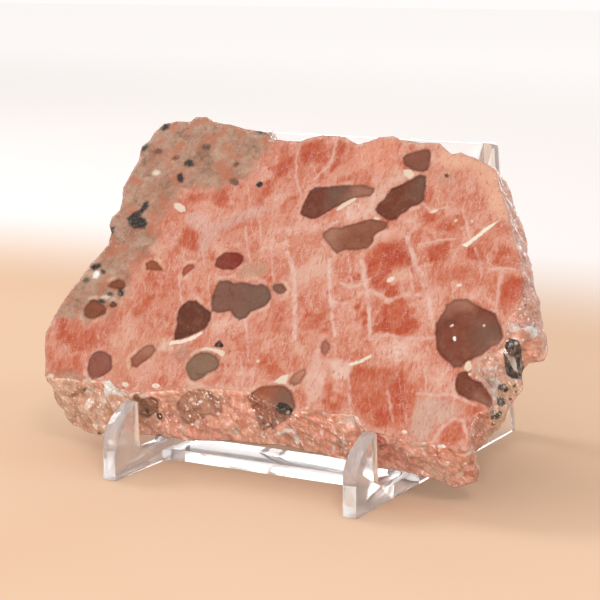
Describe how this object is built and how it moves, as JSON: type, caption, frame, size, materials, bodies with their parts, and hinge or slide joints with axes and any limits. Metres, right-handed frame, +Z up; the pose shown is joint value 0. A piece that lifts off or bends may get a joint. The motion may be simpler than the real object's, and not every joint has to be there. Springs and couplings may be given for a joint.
{
  "type": "sunstone slice on a display easel",
  "caption": "Rough-edged slab of orange feldspar rock with sawn and polished faces, leaning on a small clear display easel for show",
  "frame": {"origin": "centre of the underside of the whole part's box, on the plane it stands on", "axes": "+X along the slice's length and across the easel, to the right as seen from the front; +Y from the easel's front feet to its rear feet; +Z up"},
  "size_m": [0.0938, 0.068, 0.0606],
  "materials": {
    "sunstone": "polished stone, rough broken rim",
    "clear_plastic": "clear, moulded"
  },
  "bodies": {
    "root": {"sunstone_slice": "sunstone", "display_easel": "clear_plastic"}
  },
  "joints": []
}
